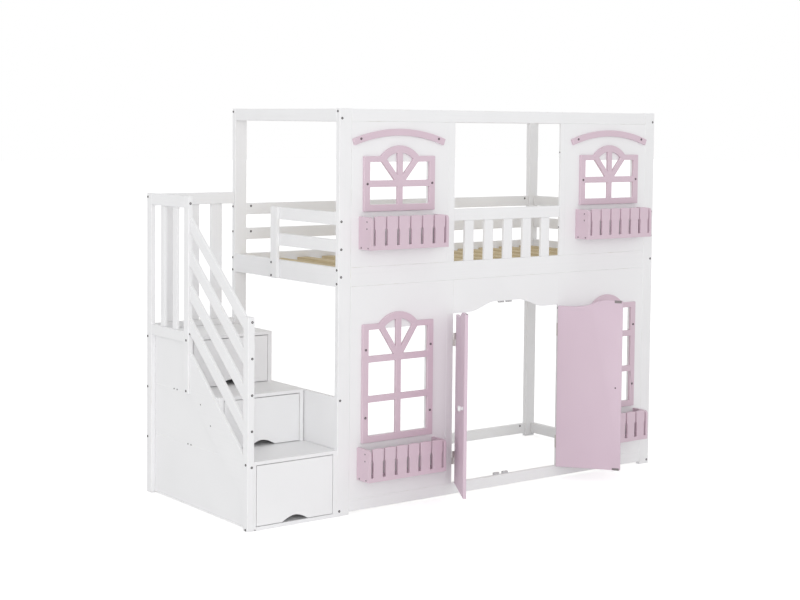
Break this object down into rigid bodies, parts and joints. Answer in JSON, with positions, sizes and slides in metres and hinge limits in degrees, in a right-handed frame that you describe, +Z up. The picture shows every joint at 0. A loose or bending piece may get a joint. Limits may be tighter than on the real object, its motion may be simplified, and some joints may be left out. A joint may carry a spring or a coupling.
{
  "type": "loft bed with storage stairs",
  "caption": "Loft bed with a house front, doors, framed windows and flower boxes, a play space below, and stairs whose steps are drawers.",
  "frame": {"origin": "middle of the footprint's bounding box, on the floor", "axes": "+X along the bed away from the stairs, +Y from the house front to the rear, +Z up"},
  "size_m": [2.544, 1.2494, 1.896],
  "materials": {
    "white_paint": "satin white paint on wood",
    "pink_paint": "satin dusty pink paint on wood",
    "door_pink_paint": "satin dusty pink paint on board",
    "bare_pine": "unpainted planed softwood",
    "zinc_steel": "zinc plated"
  },
  "bodies": {
    "bed_frame": {"post_front_left": "white_paint", "post_rear_left": "white_paint", "post_front_right": "white_paint", "post_rear_right": "white_paint", "top_rail_front": "white_paint", "top_rail_rear": "white_paint", "top_rail_left": "white_paint", "top_rail_right": "white_paint", "bed_rail_left": "white_paint", "bed_rail_right": "white_paint", "guard_rail_rear_lower": "white_paint", "guard_rail_rear_upper": "white_paint", "guard_rail_right_lower": "white_paint", "guard_rail_right_upper": "white_paint", "threshold_front": "white_paint", "bottom_rail_rear": "white_paint", "bottom_rail_right": "white_paint", "left_end_panel": "white_paint", "bed_rail_front": "white_paint", "bed_rail_rear": "white_paint", "slat_base": "bare_pine", "entry_guard": "white_paint", "window_upper_left": "pink_paint", "window_upper_right": "pink_paint", "facade_upper_left": "white_paint", "facade_upper_right": "white_paint", "window_lower_left": "pink_paint", "window_lower_right": "pink_paint", "facade_lower_left": "white_paint", "facade_lower_right": "white_paint", "arch_left": "pink_paint", "arch_right": "pink_paint", "door_header": "white_paint", "front_guard": "white_paint", "planter_upper_left": "pink_paint", "planter_upper_right": "pink_paint", "planter_lower_left": "pink_paint", "planter_lower_right": "pink_paint", "hinge_left_upper": "zinc_steel", "hinge_right_upper": "zinc_steel", "hinge_left_lower": "zinc_steel", "hinge_right_lower": "zinc_steel", "stair_post_front": "white_paint", "stair_post_mid": "white_paint", "stair_post_rear": "white_paint", "stair_carcass": "white_paint", "stair_side_left": "white_paint", "stair_rail_1": "white_paint", "stair_rail_2": "white_paint", "stair_rail_3": "white_paint", "stair_rail_4": "white_paint", "stair_stringer": "white_paint", "stair_guard_left": "white_paint", "stair_guard_rear": "white_paint"},
    "door_left": {"door_left": "door_pink_paint"},
    "door_right": {"door_right": "door_pink_paint"},
    "drawer_low": {"drawer_1": "white_paint"},
    "drawer_middle": {"drawer_2": "white_paint"},
    "drawer_high": {"drawer_3": "white_paint"}
  },
  "joints": [
    {"name": "door_left_swing", "type": "hinge", "parent": "bed_frame", "child": "door_left", "pos_m": [-0.1025, -0.33227, 0.5], "axis": [0, 0, 1], "range_deg": [-13, 122]},
    {"name": "door_right_swing", "type": "hinge", "parent": "bed_frame", "child": "door_right", "pos_m": [0.5865, -0.33227, 0.5], "axis": [0, 0, 1], "range_deg": [-128, 7]},
    {"name": "drawer_low_slide", "type": "slide", "parent": "bed_frame", "child": "drawer_low", "axis": [0, -1, 0], "range_m": [0, 0.55]},
    {"name": "drawer_middle_slide", "type": "slide", "parent": "bed_frame", "child": "drawer_middle", "axis": [0, -1, 0], "range_m": [0, 0.4]},
    {"name": "drawer_high_slide", "type": "slide", "parent": "bed_frame", "child": "drawer_high", "axis": [0, -1, 0], "range_m": [0, 0.22]}
  ]
}
